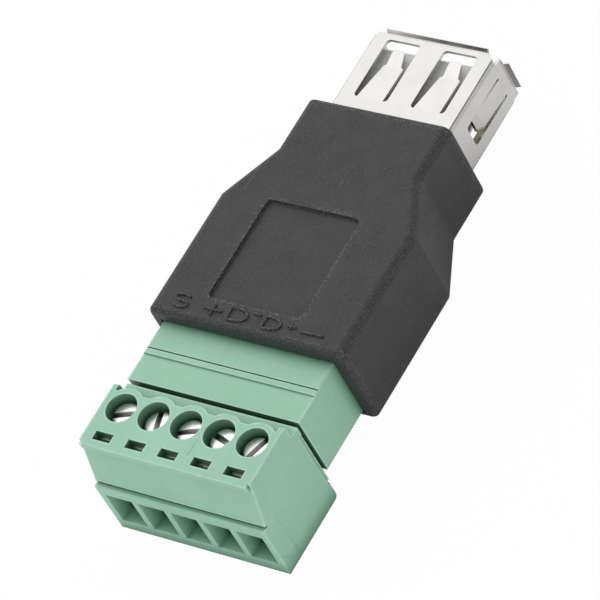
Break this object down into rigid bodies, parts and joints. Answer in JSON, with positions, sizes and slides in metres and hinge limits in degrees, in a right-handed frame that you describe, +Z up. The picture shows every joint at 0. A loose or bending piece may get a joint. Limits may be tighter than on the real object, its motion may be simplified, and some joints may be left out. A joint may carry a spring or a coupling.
{
  "type": "usb terminal block adapter",
  "caption": "USB type A socket in a tapered moulded housing, wired to a pluggable green screw terminal block with rising-cage clamps.",
  "frame": {"origin": "bottom centre of the bounding box with the plug pushed home: mid width, mid length, level with the plug's underside", "axes": "+X across the poles, +Y out of the USB mouth, +Z up out of the screw heads"},
  "size_m": [0.021, 0.0492, 0.0114],
  "materials": {
    "black_plastic": "fine spark grain",
    "green_plastic": "satin moulded",
    "white_plastic": "satin moulded",
    "nickel_shell": "bright nickel plate",
    "contact_metal": "thin gold over nickel",
    "pin_metal": "tin plate",
    "screw_metal": "bright nickel plate",
    "cage_metal": "nickel plate",
    "board_laminate": "solder resist"
  },
  "bodies": {
    "adapter": {"black_housing": "black_plastic", "usb_shell": "nickel_shell", "usb_insulator": "white_plastic", "usb_contact_1": "contact_metal", "usb_contact_2": "contact_metal", "usb_contact_3": "contact_metal", "usb_contact_4": "contact_metal", "header_housing": "green_plastic", "header_pin_1": "pin_metal", "header_pin_2": "pin_metal", "header_pin_3": "pin_metal", "header_pin_4": "pin_metal", "header_pin_5": "pin_metal", "circuit_board": "board_laminate"},
    "plug": {"plug_housing": "green_plastic", "plug_contact_1": "contact_metal", "plug_contact_2": "contact_metal", "plug_contact_3": "contact_metal", "plug_contact_4": "contact_metal", "plug_contact_5": "contact_metal"},
    "screw_1": {"clamp_screw_1": "screw_metal"},
    "cage_1": {"clamp_cage_1": "cage_metal"},
    "screw_2": {"clamp_screw_2": "screw_metal"},
    "cage_2": {"clamp_cage_2": "cage_metal"},
    "screw_3": {"clamp_screw_3": "screw_metal"},
    "cage_3": {"clamp_cage_3": "cage_metal"},
    "screw_4": {"clamp_screw_4": "screw_metal"},
    "cage_4": {"clamp_cage_4": "cage_metal"},
    "screw_5": {"clamp_screw_5": "screw_metal"},
    "cage_5": {"clamp_cage_5": "cage_metal"}
  },
  "joints": [
    {"name": "plug_slide", "type": "slide", "parent": "adapter", "child": "plug", "axis": [0, -1, 0], "range_m": [0, 0.012]},
    {"name": "screw_1_turn", "type": "hinge", "parent": "plug", "child": "screw_1", "pos_m": [-0.007, -0.01931, 0.00885], "axis": [0, 0, -1], "range_deg": [0, 2170]},
    {"name": "cage_1_slide", "type": "slide", "parent": "plug", "child": "cage_1", "axis": [0, 0, 1], "range_m": [0, 0.0024]},
    {"name": "screw_2_turn", "type": "hinge", "parent": "plug", "child": "screw_2", "pos_m": [-0.0035, -0.01931, 0.00885], "axis": [0, 0, -1], "range_deg": [0, 2170]},
    {"name": "cage_2_slide", "type": "slide", "parent": "plug", "child": "cage_2", "axis": [0, 0, 1], "range_m": [0, 0.0024]},
    {"name": "screw_3_turn", "type": "hinge", "parent": "plug", "child": "screw_3", "pos_m": [0, -0.01931, 0.00885], "axis": [0, 0, -1], "range_deg": [0, 2170]},
    {"name": "cage_3_slide", "type": "slide", "parent": "plug", "child": "cage_3", "axis": [0, 0, 1], "range_m": [0, 0.0024]},
    {"name": "screw_4_turn", "type": "hinge", "parent": "plug", "child": "screw_4", "pos_m": [0.0035, -0.01931, 0.00885], "axis": [0, 0, -1], "range_deg": [0, 2170]},
    {"name": "cage_4_slide", "type": "slide", "parent": "plug", "child": "cage_4", "axis": [0, 0, 1], "range_m": [0, 0.0024]},
    {"name": "screw_5_turn", "type": "hinge", "parent": "plug", "child": "screw_5", "pos_m": [0.007, -0.01931, 0.00885], "axis": [0, 0, -1], "range_deg": [0, 2170]},
    {"name": "cage_5_slide", "type": "slide", "parent": "plug", "child": "cage_5", "axis": [0, 0, 1], "range_m": [0, 0.0024]}
  ],
  "couplings": [
    {"joint": "screw_1_turn", "follows": "cage_1_slide", "rad_per_m": 15708},
    {"joint": "screw_2_turn", "follows": "cage_2_slide", "rad_per_m": 15708},
    {"joint": "screw_3_turn", "follows": "cage_3_slide", "rad_per_m": 15708},
    {"joint": "screw_4_turn", "follows": "cage_4_slide", "rad_per_m": 15708},
    {"joint": "screw_5_turn", "follows": "cage_5_slide", "rad_per_m": 15708}
  ]
}
